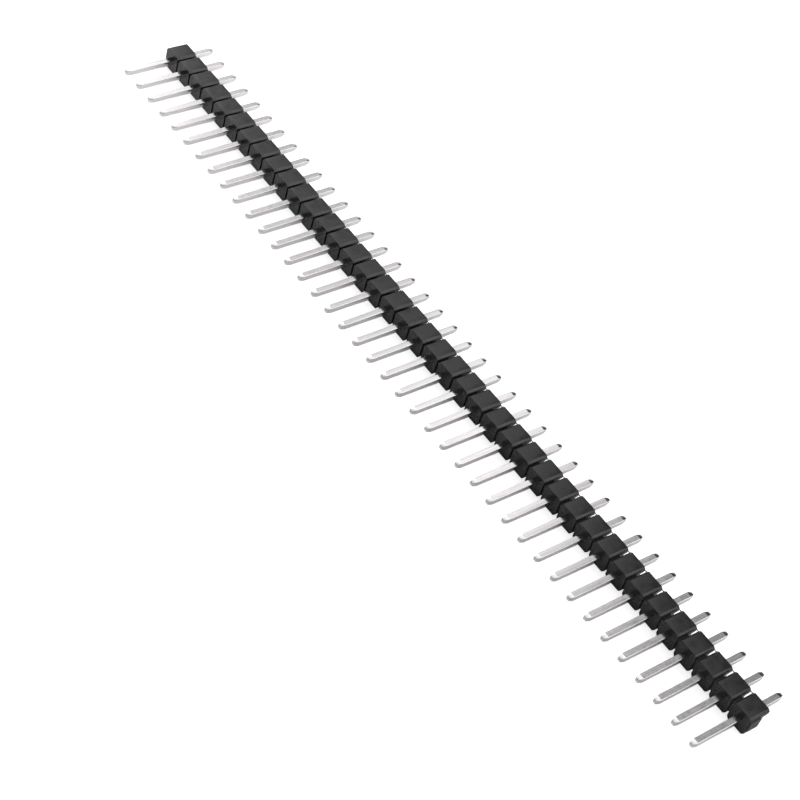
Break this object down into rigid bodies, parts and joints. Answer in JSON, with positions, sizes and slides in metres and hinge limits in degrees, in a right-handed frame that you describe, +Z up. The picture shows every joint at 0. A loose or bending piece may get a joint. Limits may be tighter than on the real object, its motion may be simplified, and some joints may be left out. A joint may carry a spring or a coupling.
{
  "type": "pin header strip",
  "caption": "Straight single-row pin header strip: notched black breakaway housing with square tapered pins, long on one side and short on the other, lying on its side.",
  "frame": {"origin": "on the surface that the strip lies on, under the middle of its length and halfway between the long tips and the short tips", "axes": "+X along the row, +Y along the pins from the long side to the short side, +Z up across the pins"},
  "size_m": [0.1016, 0.0116, 0.0025],
  "materials": {
    "housing_plastic": "matt moulded black glass-filled polyester, a little lighter where edges catch the light",
    "tinned_pin": "brass wire with bright drawn tin plating, silver-grey"
  },
  "bodies": {
    "root": {"housing": "housing_plastic", "pin_01": "tinned_pin", "pin_02": "tinned_pin", "pin_03": "tinned_pin", "pin_04": "tinned_pin", "pin_05": "tinned_pin", "pin_06": "tinned_pin", "pin_07": "tinned_pin", "pin_08": "tinned_pin", "pin_09": "tinned_pin", "pin_10": "tinned_pin", "pin_11": "tinned_pin", "pin_12": "tinned_pin", "pin_13": "tinned_pin", "pin_14": "tinned_pin", "pin_15": "tinned_pin", "pin_16": "tinned_pin", "pin_17": "tinned_pin", "pin_18": "tinned_pin", "pin_19": "tinned_pin", "pin_20": "tinned_pin", "pin_21": "tinned_pin", "pin_22": "tinned_pin", "pin_23": "tinned_pin", "pin_24": "tinned_pin", "pin_25": "tinned_pin", "pin_26": "tinned_pin", "pin_27": "tinned_pin", "pin_28": "tinned_pin", "pin_29": "tinned_pin", "pin_30": "tinned_pin", "pin_31": "tinned_pin", "pin_32": "tinned_pin", "pin_33": "tinned_pin", "pin_34": "tinned_pin", "pin_35": "tinned_pin", "pin_36": "tinned_pin", "pin_37": "tinned_pin", "pin_38": "tinned_pin", "pin_39": "tinned_pin", "pin_40": "tinned_pin"}
  },
  "joints": []
}
